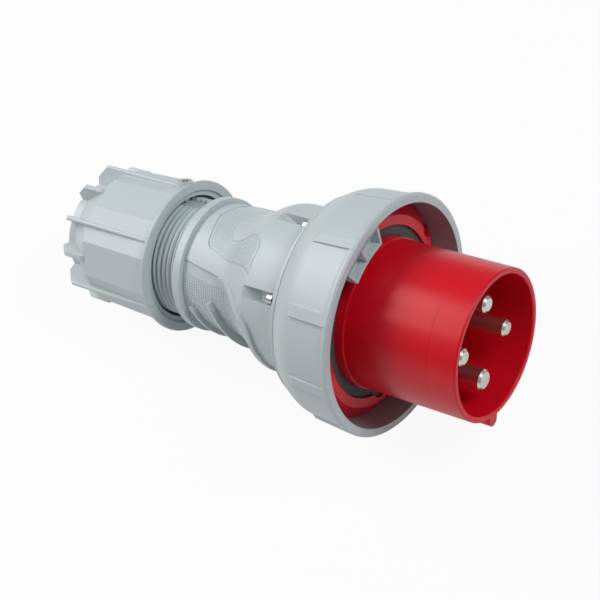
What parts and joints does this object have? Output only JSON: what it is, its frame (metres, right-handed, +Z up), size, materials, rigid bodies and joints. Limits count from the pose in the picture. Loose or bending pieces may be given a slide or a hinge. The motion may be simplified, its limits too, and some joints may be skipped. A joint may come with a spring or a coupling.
{
  "type": "industrial pin and sleeve plug",
  "caption": "Industrial pin and sleeve plug with a red sleeve round its contact pins, a bayonet locking ring that turns, a ribbed grip and a screw gland for the cable.",
  "frame": {"origin": "middle of the bounding box at the surface that the plug lies on", "axes": "+X towards the pins, +Z up; the plug's own axis rises towards the pins, because it lies on the locking ring and on two ribs of the gland nut"},
  "size_m": [0.2446, 0.1156, 0.1181],
  "materials": {
    "red_plastic": "satin moulded polyamide, signal red",
    "grey_plastic": "satin moulded polyamide, light grey",
    "dark_plastic": "matt moulded polyamide, dark grey",
    "rubber": "matt elastomer",
    "pin_metal": "turned brass, nickel plated",
    "screw_steel": "zinc plated steel"
  },
  "bodies": {
    "handle": {"sleeve_insert": "red_plastic", "contact_carrier": "red_plastic", "face_gasket": "rubber", "handle_housing": "grey_plastic", "housing_seal": "rubber", "ring_seal": "rubber", "phase_pin_l1": "pin_metal", "phase_pin_l2": "pin_metal", "phase_pin_l3": "pin_metal", "earth_pin": "pin_metal", "phase_terminal_screws_l1": "screw_steel", "phase_terminal_screws_l2": "screw_steel", "phase_terminal_screws_l3": "screw_steel", "earth_terminal_screws": "screw_steel", "pin_retainer": "dark_plastic", "retainer_screws": "screw_steel", "housing_screws": "screw_steel", "cable_grommet": "rubber"},
    "ring": {"locking_ring": "grey_plastic"},
    "gland_slide": {"thrust_ring": "dark_plastic"},
    "gland": {"gland_nut": "grey_plastic", "gland_lock_screw": "screw_steel"}
  },
  "joints": [
    {"name": "ring_turn", "type": "hinge", "parent": "handle", "child": "ring", "pos_m": [0.04781, 0, 0.0584], "axis": [0.9897, 0, 0.1434], "range_deg": [0, 40]},
    {"name": "gland_travel", "type": "slide", "parent": "handle", "child": "gland_slide", "axis": [0.9897, 0, 0.1434], "range_m": [-0.00901, 0.01201]},
    {"name": "gland_turn", "type": "hinge", "parent": "gland_slide", "child": "gland", "pos_m": [-0.05542, 0, 0.04344], "axis": [0.9897, 0, 0.1434], "range_deg": [-1080, 1440]}
  ],
  "couplings": [
    {"joint": "gland_travel", "follows": "gland_turn", "m_per_rad": 0.00047746}
  ]
}
